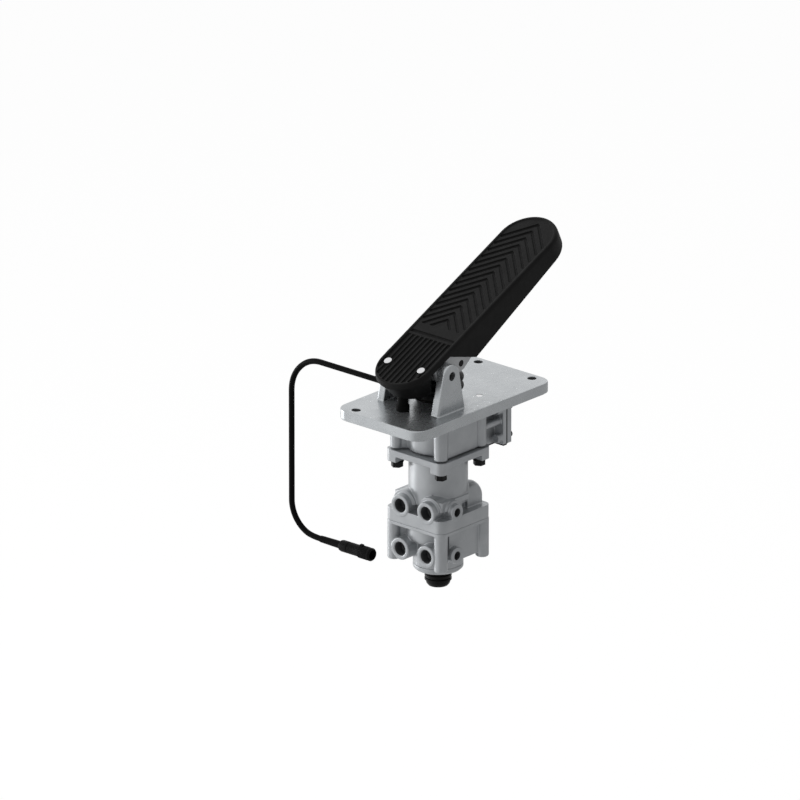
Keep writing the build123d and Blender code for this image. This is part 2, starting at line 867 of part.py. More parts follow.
def dome():
    """Closed cross-bore housing on the toe side."""
    arch = Circle(dome_r) + Pos(0, -dome_r) * Rectangle(2 * dome_r, 2 * dome_r)
    centre_z = barrel_low - dome_r + dome_top_above
    place = Plane((dome_start_x, dome_y, centre_z), x_dir=(0, 1, 0), z_dir=(1, 0, 0))
    body = extrude(place * arch, dome_end_x - dome_start_x)
    end = body.faces().sort_by(Axis.X)[-1].edges().filter_by(GeomType.CIRCLE)
    body = fillet(end, dome_rounding)
    return body & block((0, dome_end_x), (-plate_width, plate_width), (joint_top - 1, 0))


def port_casing():
    """Cast shoulders around the upper ports: two humps on the heel side, one hump and a ledge on each side."""
    casing_low = barrel_low - barrel_tail
    casing = post(barrel_r, casing_low, barrel_low + 1)
    for side in SIDES:
        axis_y = side * port_y
        casing += rod(hump_r, (-hump_face_x, axis_y, upper_port_z), (0, axis_y, upper_port_z))
        wall_y = sorted((0, side * shoulder_y))
        casing += block((-shoulder_heel_x, -shoulder_toe_x), wall_y, (casing_low, barrel_low))
        casing += block((-shoulder_toe_x, dome_start_x), wall_y, (barrel_low - ledge_thick, barrel_low))
    hump_start = (side_port_x, -side_hump_face_y, upper_port_z)
    casing += rod(side_hump_r, hump_start, (side_port_x, 0, upper_port_z))
    return casing & block((-plate_width, plate_width), (-plate_width, plate_width), (casing_low, flange_low))


def upper_body():
    flange = RectangleRounded(flange_width, flange_width, flange_corner)
    lug_at = (flange_width - lug_width) / 2
    body = slab(flange, flange_low, flange_top)
    for x, y in CORNERS:
        body += slab(flange & Pos(x * lug_at, y * lug_at) * Rectangle(lug_width, lug_width), lug_low, flange_top)
    body += post(barrel_r, barrel_low, flange_low)
    core = slab(RectangleRounded(core_width, core_width, core_corner), joint_top - 1, barrel_low + 1)
    body += core + port_casing() + dome()
    body += slab(RectangleRounded(joint_width, joint_width, joint_corner), seam, joint_top)
    body, left = main_port(upper_port_z, port_y, body)
    body, right = main_port(upper_port_z, -port_y, body)
    body, side = side_port(upper_port_z, body)
    body -= post(upper_bore_r, upper_floor, flange_top)
    body -= valve_bore(upper_floor, upper_seat, upper_chamber_low)
    body -= post(relay_bore_r, seam, relay_roof)
    body -= post(chamber_r, seam, upper_chamber_low)
    body -= [left, right, side, passages(upper_port_z, upper_seat - supply_drop, upper_floor)]
    body -= post(drill_r, relay_roof - 1, upper_floor + 1, 0.8 * upper_bore_r, 0)
    for x, y in CORNERS:
        body -= post(bolt_r + bolt_gap, lug_low, flange_top, x * bolt_pitch / 2, y * bolt_pitch / 2)
        body -= post(screw_r + seated, seam, joint_top - 3, x * post_pitch / 2, y * post_pitch / 2)
    return body


def foot_ring(clearance, high):
    """Ring-shaped tongue between the foot and its cover, or the groove for it."""
    inner = foot_tongue_r - foot_tongue_width + clearance
    return ring(foot_tongue_r - clearance, inner, lower_chamber_low, lower_chamber_low + high)


def lower_body():
    body = slab(RectangleRounded(joint_width, joint_width, joint_corner), seam - rim_thick, seam)
    wall = RectangleRounded(wall_width, wall_width, wall_corner)
    wall -= Pos(-wall_heel_x - wall_width / 2, 0) * Rectangle(wall_width, 2 * wall_width)
    body += slab(wall, seam - wall_deep, seam - 1)
    relay_case = post(relay_bore_r + relay_wall, seam - relay_wall_deep, seam - 1)
    body += fillet(relay_case.edges().group_by(Axis.Z)[0], relay_wall_rounding)
    for x, y in CORNERS:
        leg = post(post_r, post_low, seam - 1, x * post_pitch / 2, y * post_pitch / 2)
        body += fillet(leg.edges().group_by(Axis.Z)[0], post_rounding)
        body += slab(corner_web(x, y, post_pitch, post_web), post_low + post_web_short, seam - 1)
    body += post(foot_r, lower_chamber_low, seam - relay_wall_deep + 1)
    body, left = main_port(lower_port_z, port_y, body)
    body, right = main_port(lower_port_z, -port_y, body)
    body, side = side_port(lower_port_z, body)
    body -= post(relay_bore_r, relay_floor, seam)
    body -= valve_bore(relay_floor, lower_seat, lower_chamber_low)
    body -= foot_ring(0, foot_tongue_high)
    body -= [left, right, side, passages(lower_port_z, lower_seat - supply_drop, relay_floor)]
    for x, y in CORNERS:
        place = (x * post_pitch / 2, y * post_pitch / 2)
        body -= post(screw_r + bolt_gap, post_low, seam, *place)
        body -= post(screw_head_r + bolt_gap, post_low, post_low + screw_counterbore, *place)
    return body


def foot_cover():
    """Cover pressed onto the foot, under the lower valve chamber; it carries the silencer."""
    body = post(foot_r, foot_low, lower_chamber_low)
    body = chamfer(body.edges().group_by(Axis.Z)[0], foot_chamfer)
    body += foot_ring(seated, foot_tongue_high - contact_gap)
    return body - post(silencer_spigot_r + seated, foot_low, lower_chamber_low)


# Fasteners
def flange_bolts():
    """Four long flanged bolts that clamp valve, spring housing and plate."""
    bolt = post(bolt_r, lug_low, plate_thick - bolt_end_drop)
    bolt += post(bolt_collar_r, lug_low - bolt_collar, lug_low)
    bolt += slab(RegularPolygon(bolt_hex_r, 6), lug_low - bolt_head, lug_low - bolt_collar)
    return Compound([Pos(x * bolt_pitch / 2, y * bolt_pitch / 2, 0) * bolt for x, y in CORNERS])


def body_screws():
    """Four socket screws that hold the lower part of the body to the upper one."""
    seat = post_low + screw_counterbore
    screw = post(screw_r, seat, joint_top - 4)
    screw += post(screw_head_r, seat - screw_head, seat)
    screw -= slab(RegularPolygon(screw_head_r / 2, 6), seat - screw_head, seat - screw_head / 2)
    return Compound([Pos(x * post_pitch / 2, y * post_pitch / 2, 0) * screw for x, y in CORNERS])


# Pieces inside the valve
def graduating_spring():
    """Moulded rubber spring between the plunger's seat and the primary piston."""
    top = plunger_seat_top - plunger_seat_thick - contact_gap
    low = piston_top - cup_deep + contact_gap
    waist = top_spring_r - 2.5
    third = (top - low) / 3
    hole = plunger_spigot_r + 4 * contact_gap
    return turned(
        (hole, top),
        (waist, top),
        (top_spring_r, top - third / 2),
        (waist, top - third),
        (top_spring_r, top - 1.5 * third),
        (waist, top - 2 * third),
        (top_spring_r, top - 2.5 * third),
        (waist, low),
        (hole, low),
    )


def primary_piston():
    outer = upper_bore_r - running
    groove_top = piston_top - seal_width
    body = post(outer, piston_low, piston_top) - post(cup_r, piston_top - cup_deep, piston_top)
    body -= ring(outer, upper_bore_r - seal_deep, groove_top - seal_width, groove_top)
    body -= ring(cup_r + 4, stem_r + 4, piston_low, piston_low + cup_deep)
    stem_low = upper_seat - contact_gap + exhaust_gap
    body += post(stem_r, stem_low, piston_low)
    return body - post(valve_sleeve_bore_r, stem_low, stem_low + cup_deep)


def primary_piston_seal():
    return piston_seal(upper_bore_r, piston_top - seal_width)


def primary_return_spring():
    return coil(return_coil_r, return_wire_r, upper_floor, piston_low + cup_deep)


def relay_piston():
    outer = relay_bore_r - running
    groove_top = relay_top - (relay_head_thick - seal_width) / 2
    body = post(outer, relay_low, relay_top)
    body -= ring(outer, relay_bore_r - seal_deep, groove_top - seal_width, groove_top)
    stem_low = lower_seat - contact_gap + exhaust_gap
    body += post(stem_r, stem_low, relay_low)
    tube_top = relay_top + relay_tube_long
    body += post(valve_sleeve_bore_r - running, relay_top, tube_top)
    return body - post(exhaust_r, stem_low, tube_top)


def relay_piston_seal():
    return piston_seal(relay_bore_r, relay_top - (relay_head_thick - seal_width) / 2)


def relay_return_spring():
    return coil(relay_coil_r, return_wire_r, relay_floor, relay_low)


def inlet_valve(seat):
    """Hollow valve sleeve with the disc that carries its sealing ring."""
    top = seat - contact_gap
    disc = ring(valve_disc_r, valve_sleeve_bore_r, top - valve_disc_thick, top - valve_seal_thick)
    sleeve = ring(valve_sleeve_r, valve_sleeve_bore_r, top - valve_sleeve_long, top - valve_seal_thick)
    return disc + sleeve


def valve_seal(seat):
    """Rubber face of an inlet valve, bonded to its disc."""
    top = seat - contact_gap
    return ring(valve_disc_r, valve_sleeve_bore_r, top - valve_seal_thick, top)


def guide_top(chamber_low):
    return chamber_low + 1 + clip_thick + valve_guide_thick


def valve_guide(chamber_low):
    """Guide that closes a valve chamber and carries the valve's sleeve."""
    top = guide_top(chamber_low)
    return ring(chamber_r - seated, valve_sleeve_r + running, top - valve_guide_thick, top)


def valve_spring(seat, chamber_low):
    low = guide_top(chamber_low)
    return coil(valve_coil_r, valve_wire_r, low, seat - contact_gap - valve_disc_thick)


def guide_clip(chamber_low):
    """Retaining ring in the groove below a valve guide."""
    low = chamber_low + 1 + seated
    outer = chamber_r + clip_groove_deep - contact_gap
    clip = ring(outer, chamber_r - clip_wall, low, low + clip_thick - 2 * seated)
    return clip - block((0, 2 * chamber_r), (-clip_wall, clip_wall), (low, low + clip_thick))


def exhaust_silencer():
    """Silencer pressed into the foot's cover."""
    bottom = foot_low - silencer_long
    body = post(silencer_r, bottom, foot_low)
    body = chamfer(body.edges().group_by(Axis.Z)[0], silencer_chamfer)
    body += post(silencer_spigot_r, foot_low, foot_low + silencer_spigot_long)
    return body - post(silencer_bore_r, bottom, foot_low + silencer_spigot_long)


# Sensor cable and its plug
def cable_gland():
    """Hexagonal gland with a tapered strain relief."""
    start = (cable_x, box_half_width, cable_z)
    hex_end = (cable_x, box_half_width + gland_hex_long, cable_z)
    tip = (cable_x, gland_end_y, cable_z)
    spigot = rod(gland_spigot_r, (cable_x, box_half_width - box_wall, cable_z), start)
    nut_plane = Plane(origin=start, x_dir=(1, 0, 0), z_dir=(0, 1, 0))
    nut = extrude(nut_plane * RegularPolygon(gland_hex / 2, 6, major_radius=False), gland_hex_long)
    return spigot + nut + rod(gland_spigot_r, hex_end, tip, gland_tip_r)


def cable_route():
    """Corner points of the cable, from the gland to the plug's sleeve, chosen to follow a hanging lead."""
    return [
        (cable_x, gland_end_y, cable_z),
        (cable_x, cable_far_y - cable_bend, cable_z),
        (cable_x, cable_far_y, cable_z - cable_bend),
        (cable_x, cable_far_y, cable_low + cable_turn),
        (cable_x, cable_far_y - cable_turn_edge, cable_low + cable_turn_side),
        (cable_x, cable_far_y - cable_turn_side, cable_low + cable_turn_edge),
        (cable_x, cable_far_y - cable_turn, cable_low),
        (cable_x, plug_y, cable_low),
    ]


def corner_radii(points):
    """The largest arc that each corner's two runs leave room for."""
    radii = []
    for before, here, after in zip(points, points[1:], points[2:]):
        run_in = Vector(*here) - Vector(*before)
        run_out = Vector(*after) - Vector(*here)
        half_turn = math.radians(run_in.get_angle(run_out)) / 2
        radii.append(0.45 * min(run_in.length, run_out.length) / math.tan(half_turn))
    return radii


def sensor_cable():
    points = cable_route()
    radii = corner_radii(points)
    print("cable radii", [round(radius, 1) for radius in radii])
    path = FilletPolyline(*points, radius=radii)
    start = Plane(origin=points[0], z_dir=path % 0)
    tube = sweep(start * Circle(cable_r), path)
    share = tube.volume / (math.pi * cable_r**2 * path.length)
    print("cable length", round(path.length, 1), "volume over section times length", round(share, 4))
    return tube


def cable_plug():
    """Round plug with a coupling ring at its free end."""
    neck_y = plug_y - sleeve_long
    ring_y = neck_y - plug_long + plug_ring_long
    end_y = neck_y - plug_long
    body = rod(plug_r, (cable_x, ring_y, cable_low), (cable_x, neck_y, cable_low))
    body = chamfer(body.edges().filter_by(GeomType.CIRCLE).sort_by(Axis.Y)[-1], 2)
    nut = rod(plug_ring_r, (cable_x, end_y, cable_low), (cable_x, ring_y, cable_low))
    nut = chamfer(nut.edges().filter_by(GeomType.CIRCLE), 0.8)
    return body + nut


def plug_sleeve():
    return rod(
        sleeve_r,
        (cable_x, plug_y - sleeve_long, cable_low),
        (cable_x, plug_y, cable_low),
        cable_r + 0.6,
    )


PIECES = {
    "pedal_plate": pedal_plate,
    "pivot_pin": pivot_pin,
    "heel_stop": heel_stop,
    "treadle_lever": treadle_lever,
    "treadle_pad": treadle_pad,
    "heel_block": heel_block,
    "pedal_rivets": pedal_rivets,
    "pivot_bushes": pivot_bushes,
    "roller_pin": roller_pin,
    "pedal_roller": pedal_roller,
    "plunger": plunger,
    "plunger_guide": plunger_guide,
    "dust_boot": dust_boot,
    "spring_housing": spring_housing,
    "sensor_gasket": sensor_gasket,
    "sensor_cover": sensor_cover,
    "cover_screws": cover_screws,
    "position_sensor": position_sensor,
    "body_gasket": body_gasket,
    "upper_body": upper_body,
    "lower_body": lower_body,
    "foot_cover": foot_cover,
    "flange_bolts": flange_bolts,
    "body_screws": body_screws,
    "graduating_spring": graduating_spring,
    "primary_piston": primary_piston,
    "primary_piston_seal": primary_piston_seal,
    "primary_return_spring": primary_return_spring,
    "relay_piston": relay_piston,
    "relay_piston_seal": relay_piston_seal,
    "relay_return_spring": relay_return_spring,
    "primary_valve": lambda: inlet_valve(upper_seat),
    "primary_valve_seal": lambda: valve_seal(upper_seat),
    "primary_valve_guide": lambda: valve_guide(upper_chamber_low),
    "primary_valve_spring": lambda: valve_spring(upper_seat, upper_chamber_low),
    "primary_guide_clip": lambda: guide_clip(upper_chamber_low),
    "secondary_valve": lambda: inlet_valve(lower_seat),
    "secondary_valve_seal": lambda: valve_seal(lower_seat),
    "secondary_valve_guide": lambda: valve_guide(lower_chamber_low),
    "secondary_valve_spring": lambda: valve_spring(lower_seat, lower_chamber_low),
    "secondary_guide_clip": lambda: guide_clip(lower_chamber_low),
    "exhaust_silencer": exhaust_silencer,
    "cable_gland": cable_gland,
    "sensor_cable": sensor_cable,
    "plug_sleeve": plug_sleeve,
    "cable_plug": cable_plug,
}

os.makedirs("parts", exist_ok=True)
for node, make in PIECES.items():
    export_step(make(), f"parts/{node}.step")
print("plunger travel", round(plunger_travel, 4), "pieces", len(PIECES))
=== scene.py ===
"""Service brake valve: finish, lead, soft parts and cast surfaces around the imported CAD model."""
import json
import math

import bmesh
import bpy
from mathutils import Matrix, Vector
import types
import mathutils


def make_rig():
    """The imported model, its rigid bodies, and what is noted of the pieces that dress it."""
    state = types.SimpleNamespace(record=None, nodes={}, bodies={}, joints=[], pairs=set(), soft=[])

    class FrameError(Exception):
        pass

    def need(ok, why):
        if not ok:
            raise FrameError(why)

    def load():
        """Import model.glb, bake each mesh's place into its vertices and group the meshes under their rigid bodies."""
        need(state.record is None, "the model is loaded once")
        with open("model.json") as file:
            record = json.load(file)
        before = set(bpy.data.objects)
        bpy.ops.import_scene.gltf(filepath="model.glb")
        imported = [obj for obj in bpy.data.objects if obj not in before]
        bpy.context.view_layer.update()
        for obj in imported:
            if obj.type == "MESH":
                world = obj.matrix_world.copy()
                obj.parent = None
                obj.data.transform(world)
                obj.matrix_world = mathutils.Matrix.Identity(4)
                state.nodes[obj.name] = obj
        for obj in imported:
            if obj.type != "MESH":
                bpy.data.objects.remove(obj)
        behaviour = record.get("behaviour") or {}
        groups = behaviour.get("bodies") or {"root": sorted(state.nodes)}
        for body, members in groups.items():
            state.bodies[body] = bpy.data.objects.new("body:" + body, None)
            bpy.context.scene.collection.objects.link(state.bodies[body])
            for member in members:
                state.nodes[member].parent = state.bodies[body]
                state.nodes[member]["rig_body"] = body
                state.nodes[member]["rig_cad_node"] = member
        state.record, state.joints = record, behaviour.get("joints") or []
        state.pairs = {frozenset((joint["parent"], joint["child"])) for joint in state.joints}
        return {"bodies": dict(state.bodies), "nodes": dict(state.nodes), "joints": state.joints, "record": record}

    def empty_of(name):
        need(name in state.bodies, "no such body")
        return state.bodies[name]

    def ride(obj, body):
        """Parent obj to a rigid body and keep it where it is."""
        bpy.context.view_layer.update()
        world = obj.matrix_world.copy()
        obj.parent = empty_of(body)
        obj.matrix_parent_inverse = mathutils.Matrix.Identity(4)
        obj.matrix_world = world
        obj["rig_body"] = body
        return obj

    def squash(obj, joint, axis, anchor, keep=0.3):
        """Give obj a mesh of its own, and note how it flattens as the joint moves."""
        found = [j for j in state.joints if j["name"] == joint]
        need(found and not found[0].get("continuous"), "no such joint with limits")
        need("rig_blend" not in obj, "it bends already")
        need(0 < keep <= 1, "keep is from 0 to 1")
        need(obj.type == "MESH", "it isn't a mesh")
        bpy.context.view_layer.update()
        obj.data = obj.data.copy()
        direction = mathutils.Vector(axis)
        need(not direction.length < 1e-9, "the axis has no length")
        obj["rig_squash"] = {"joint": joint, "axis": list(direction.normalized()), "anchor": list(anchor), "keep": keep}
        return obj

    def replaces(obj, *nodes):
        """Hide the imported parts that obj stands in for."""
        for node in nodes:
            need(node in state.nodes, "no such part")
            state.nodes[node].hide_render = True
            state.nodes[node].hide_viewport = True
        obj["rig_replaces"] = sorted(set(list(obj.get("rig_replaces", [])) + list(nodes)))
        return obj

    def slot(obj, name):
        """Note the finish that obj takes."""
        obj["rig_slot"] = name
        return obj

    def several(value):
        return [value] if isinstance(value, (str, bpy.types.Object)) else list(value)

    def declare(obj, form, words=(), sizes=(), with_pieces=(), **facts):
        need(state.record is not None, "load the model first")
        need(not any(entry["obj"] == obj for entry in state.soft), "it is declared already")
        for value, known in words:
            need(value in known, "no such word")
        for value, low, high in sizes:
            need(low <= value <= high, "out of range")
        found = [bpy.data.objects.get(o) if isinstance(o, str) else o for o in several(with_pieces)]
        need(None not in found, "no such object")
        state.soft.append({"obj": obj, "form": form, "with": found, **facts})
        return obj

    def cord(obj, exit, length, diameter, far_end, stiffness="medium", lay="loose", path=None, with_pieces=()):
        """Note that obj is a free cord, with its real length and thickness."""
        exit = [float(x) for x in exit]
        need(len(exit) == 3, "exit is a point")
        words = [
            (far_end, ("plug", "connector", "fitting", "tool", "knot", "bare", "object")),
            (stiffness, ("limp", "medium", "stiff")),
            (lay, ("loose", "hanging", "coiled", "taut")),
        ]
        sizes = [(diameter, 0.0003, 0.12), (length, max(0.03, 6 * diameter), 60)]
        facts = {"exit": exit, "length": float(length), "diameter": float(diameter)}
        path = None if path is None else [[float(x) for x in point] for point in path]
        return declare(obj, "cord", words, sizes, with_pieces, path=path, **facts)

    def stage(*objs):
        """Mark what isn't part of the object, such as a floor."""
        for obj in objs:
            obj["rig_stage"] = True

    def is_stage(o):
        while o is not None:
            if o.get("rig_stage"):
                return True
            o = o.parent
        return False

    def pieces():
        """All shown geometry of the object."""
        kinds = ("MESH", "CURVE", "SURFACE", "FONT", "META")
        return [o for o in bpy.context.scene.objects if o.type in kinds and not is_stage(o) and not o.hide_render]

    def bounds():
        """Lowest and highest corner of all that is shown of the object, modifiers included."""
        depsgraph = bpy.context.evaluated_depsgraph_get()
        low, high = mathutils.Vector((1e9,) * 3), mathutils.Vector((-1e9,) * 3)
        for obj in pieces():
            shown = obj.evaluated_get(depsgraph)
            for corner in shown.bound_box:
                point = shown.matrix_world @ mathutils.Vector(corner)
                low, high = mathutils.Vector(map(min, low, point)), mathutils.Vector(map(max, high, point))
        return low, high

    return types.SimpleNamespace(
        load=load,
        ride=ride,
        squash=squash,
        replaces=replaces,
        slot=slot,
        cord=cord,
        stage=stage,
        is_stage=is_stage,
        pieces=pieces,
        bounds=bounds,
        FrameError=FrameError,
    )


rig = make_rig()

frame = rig.load()
CAD_LOW, CAD_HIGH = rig.bounds()
NODES = frame["nodes"]
SLOTS = {item["node"]: item["material_slot"] for item in frame["record"]["subparts"]}
MM = 0.001
MICRON = 0.000001

# Camera: nearly parallel view from the heel side, slightly above the plate
VIEW_AZIMUTH = math.radians(-48.5)
VIEW_ELEVATION = math.radians(20.5)
VIEW_DISTANCE = 26.667
VIEW_LENS = 1000
VIEW_CENTRE = Vector((-0.0694, 0, 0.0277))

# Sizes that the scene shares with the CAD, in metres
PLATE_TOP = 13 * MM
CABLE_X = 65.5 * MM
CABLE_R = 3.6 * MM
CABLE_LOW = -251.5 * MM
CABLE_LENGTH = 0.472
FOOT_LOW = -206.5 * MM
PLUG_NECK_Y = 215 * MM

# Light: where the world is brightest, how fast it changes, its dim and bright strengths for matt
# and for mirrored light, and the floor's share of plain white
BRIGHT_SIDE = (-0.25, 0.85, 0.45)
SIDE_RANGE = (-0.25, 0.35)
MATT_LIGHT = (0.26, 0.62)
MIRRORED_LIGHT = (0.5, 1.0)
FLOOR_GLOW = 0.96

# Lamps: place, size, power and whether it shows in reflections
LAMPS = {
    "rim": ((-0.9, 2.8, -0.3), 1.6, 30, True),
    "key": ((-2.0, 2.2, 1.2), 1.6, 30, False),
    "top": ((1.7, 2.0, 2.1), 1.0, 90, False),
}

# Finishes: blotches and wear to the metre, and the part of the noise's range that is used
BLOTCH_SCALE = 45
WEAR_SCALE = 148.5
CLOUD_RANGE = (0.3, 0.7)

# Floor: half its width, its level and its colour
FLOOR_REACH = 12
FLOOR_LEVEL = -1.1
FLOOR_GREY = 0.85

# Gasket's thickness, and the height above which the flange bolts are bare metal
GASKET_THICK = 1.2 * MM
BOLT_END = 11 * MM

# Holes whose walls get painted shade, in millimetres
FLOOR_HOLES = [(122, 43), (122, -43), (-100, 43)]
FLOOR_HOLE_R = 6
FLOOR_HOLE_SPAN = (-1, 12.2)
PORT_FACE_X = -46.8
PORT_LIP = 1.2
PORT_Y = 20.8
PORT_R = 9.5
UPPER_PORTS_Z = -119.8
LOWER_PORTS_Z = -175.3
SIDE_PORT_X = -18
SIDE_PORT_FACE_Y = -47.4
SIDE_PORT_R = 6.2

# Pedal: its slope, its hinge, the ends of its middle line and the pad's half width
PEDAL_ANGLE = math.radians(24.9)
PEDAL_TURN = Matrix.Translation(Vector((-30.5, 0, 59)) * MM) @ Matrix.Rotation(-PEDAL_ANGLE, 4, "Y")
PEDAL_BACK = PEDAL_TURN.inverted()
HEEL_U = -20 * MM
TOE_U = 219.3 * MM
PAD_R = 40 * MM

# Pad: heights of its rim, its field and the grooves' floor above the hinge, the end of the ribs, how far
# the grooves are opened, and how far its edge is rounded across and down
PAD_TOP = 23.4 * MM
FIELD_HIGH = 22.4 * MM
GROOVE_FLOOR = 20.6 * MM
RIBS_END = 34 * MM
GROOVE_OPENED = 0.65 * MM
EDGE_ACROSS = 2.8 * MM
EDGE_DOWN = 6.5 * MM

# How much wider the heel's bowl is made
BOWL_WIDER = 1.07

# Upper flange: half its width, the radius of its corners and the depth of its lugs
FLANGE_HALF = 46 * MM
FLANGE_CORNER = 9 * MM
FLANGE_DEEP = 15.6 * MM

# Share of the boot's height that is left when the plunger is down
BOOT_KEEP = 0.70

# Springs inside the valve: the body that carries each, the joint that shortens it, its fixed end and how
# far the other end comes closer at the joint's limit
SPRINGS = {
    "graduating_spring": ("plunger", "plunger_slide", max, 7.76 * MM),
    "primary_return_spring": ("valve", "primary_piston_slide", min, 3 * MM),
    "relay_return_spring": ("valve", "relay_piston_slide", min, 3 * MM),
    "primary_valve_spring": ("valve", "primary_valve_slide", min, 1.2 * MM),
    "secondary_valve_spring": ("valve", "secondary_valve_slide", min, 1.2 * MM),
}

# Castings and mouldings: grid of the rebuilt surface and smoothing passes
CAST_VOXEL = 0.6 * MM
PLATE_VOXEL = 0.8 * MM
LEVER_VOXEL = 0.9 * MM
PAD_VOXEL = 0.5 * MM
CAST_PASSES = 3
PAD_PASSES = 2

# Bevels of fasteners, in metres and degrees; points closer than the last value are one
FINE_BEVEL = 0.3 * MM
BROAD_BEVEL = 0.5 * MM
BEVEL_ANGLE = 35
WELD = 0.001 * MM


def link(obj):
    bpy.context.scene.collection.objects.link(obj)
    return obj


def new_object(name, mesh):
    return link(bpy.data.objects.new(name, mesh))


def settled(obj):
    """Applies an object's modifiers to a mesh of its own."""
    graph = bpy.context.evaluated_depsgraph_get()
    mesh = bpy.data.meshes.new_from_object(obj.evaluated_get(graph))
    obj.modifiers.clear()
    obj.data = mesh
    return obj


def smooth_shaded(obj):
    for polygon in obj.data.polygons:
        polygon.use_smooth = True
    return obj


# Materials
def node(tree, kind, **values):
    made = tree.nodes.new(kind)
    for key, value in values.items():
        if key in made.inputs:
            made.inputs[key].default_value = value
        else:
            setattr(made, key, value)
    return made


def grain(tree, scale, detail=3.0):
    """Noise in the object's own coordinates; scale is in features to the metre."""
    place = tree.nodes.get("place") or tree.nodes.new("ShaderNodeTexCoord")
    place.name = "place"
    noise = node(tree, "ShaderNodeTexNoise", Scale=scale, Detail=detail)
    tree.links.new(place.outputs["Object"], noise.inputs["Vector"])
    return noise.outputs["Fac"]


def spread(tree, fac, low, high, out_low, out_high):
    """Maps a factor to a range of values."""
    ramp = node(tree, "ShaderNodeMapRange")
    ramp.inputs["From Min"].default_value = low
    ramp.inputs["From Max"].default_value = high
    ramp.inputs["To Min"].default_value = out_low
    ramp.inputs["To Max"].default_value = out_high
    tree.links.new(fac, ramp.inputs["Value"])
    return ramp.outputs["Result"]


def tinted(tree, fac, dark, light):
    """Mixes two colours by a factor."""
    mix = tree.nodes.new("ShaderNodeMix")
    mix.data_type = "RGBA"
    mix.inputs[6].default_value = (*dark, 1)
    mix.inputs[7].default_value = (*light, 1)
    tree.links.new(fac, mix.inputs[0])
    return mix.outputs[2]


def blended(tree, fac, low, high=None):
    """Mixes two values by a factor; the second is 1 where it isn't given."""
    mix = tree.nodes.new("ShaderNodeMix")
    tree.links.new(fac, mix.inputs[0])
    tree.links.new(low, mix.inputs[2])
    if high:
        tree.links.new(high, mix.inputs[3])
    else:
        mix.inputs[3].default_value = 1
    return mix.outputs[0]


def surface(name, metallic, specular, bump, rough, dark, light):
    """Procedural finish with blotchy colour, uneven roughness and a fine bump."""
    made = bpy.data.materials.new(name)
    made.use_nodes = True
    tree = made.node_tree
    shader = tree.nodes["Principled BSDF"]
    shader.inputs["Metallic"].default_value = metallic
    shader.inputs["Specular IOR Level"].default_value = specular
    clouds = spread(tree, grain(tree, BLOTCH_SCALE, 4.0), *CLOUD_RANGE, 0, 1)
    tree.links.new(tinted(tree, clouds, dark, light), shader.inputs["Base Color"])
    wear = spread(tree, grain(tree, WEAR_SCALE), *CLOUD_RANGE, *rough)
    tree.links.new(wear, shader.inputs["Roughness"])
    scale, height = bump
    relief = node(tree, "ShaderNodeBump", Strength=1.0, Distance=height * MICRON)
    tree.links.new(grain(tree, scale), relief.inputs["Height"])
    tree.links.new(relief.outputs["Normal"], shader.inputs["Normal"])
    return made


# Each finish: metallic share, specular level, bump (features to the metre, height in microns), range of
# roughness, dark and light colour
FINISHES = {
    "cast_aluminium": (
        0.55, 0.5, (90, 30), (0.3, 0.4),
        (0.36, 0.375, 0.39), (0.42, 0.435, 0.45),
    ),
    "plate_aluminium": (
        0.8, 0.5, (60, 10), (0.24, 0.34),
        (0.44, 0.46, 0.475), (0.49, 0.51, 0.525),
    ),
    # bore_shade: painted shade, a dark grey for the walls of holes and ports
    "bore_shade": (
        0.3, 0.3, (1400, 20), (0.5, 0.6),
        (0.075, 0.077, 0.08), (0.1, 0.103, 0.107),
    ),
    "lever_aluminium": (
        0.5, 0.5, (1400, 20), (0.36, 0.46),
        (0.42, 0.43, 0.44), (0.48, 0.49, 0.5),
    ),
    "tread_rubber": (
        0.0, 0.1, (2200, 20), (0.5, 0.6),
        (0.008, 0.008, 0.008), (0.011, 0.011, 0.011),
    ),
    "moulded_black": (
        0.0, 0.1, (2500, 10), (0.4, 0.5),
        (0.005, 0.005, 0.005), (0.008, 0.008, 0.008),
    ),
    "stop_rubber": (
        0.0, 0.06, (2200, 20), (0.5, 0.6),
        (0.003, 0.003, 0.003), (0.006, 0.006, 0.006),
    ),
    "bright_steel": (
        1.0, 0.5, (1800, 10), (0.18, 0.28),
        (0.66, 0.66, 0.67), (0.76, 0.76, 0.77),
    ),
    "bush_polymer": (
        0.0, 0.5, (2000, 10), (0.4, 0.5),
        (0.26, 0.24, 0.19), (0.32, 0.30, 0.25),
    ),
    "gasket_black": (
        0.0, 0.06, (2500, 20), (0.55, 0.65),
        (0.003, 0.003, 0.003), (0.006, 0.006, 0.006),
    ),
    "black_steel": (
        0.0, 0.14, (2000, 10), (0.3, 0.4),
        (0.004, 0.004, 0.004), (0.007, 0.007, 0.007),
    ),
    "inner_rubber": (
        0.0, 0.12, (2200, 20), (0.4, 0.5),
        (0.004, 0.004, 0.004), (0.008, 0.008, 0.008),
    ),
    "piston_aluminium": (
        1.0, 0.5, (1500, 10), (0.22, 0.3),
        (0.55, 0.56, 0.57), (0.62, 0.63, 0.64),
    ),
    "spring_steel": (
        1.0, 0.5, (1500, 10), (0.25, 0.35),
        (0.35, 0.35, 0.36), (0.45, 0.45, 0.46),
    ),
    "silencer_black": (
        0.0, 0.14, (1800, 10), (0.25, 0.35),
        (0.004, 0.004, 0.004), (0.006, 0.006, 0.006),
    ),
    "cable_jacket": (
        0.0, 0.03, (900, 20), (0.4, 0.5),
        (0.003, 0.003, 0.003), (0.005, 0.005, 0.005),
    ),
    "plug_black": (
        0.0, 0.05, (2500, 10), (0.4, 0.5),
        (0.004, 0.004, 0.004), (0.006, 0.006, 0.006),
    ),
}
MATERIALS = {name: surface(name, *values) for name, values in FINISHES.items()}


def painted(obj, name):
    obj.data.materials.clear()
    obj.data.materials.append(MATERIALS[name])
    return obj


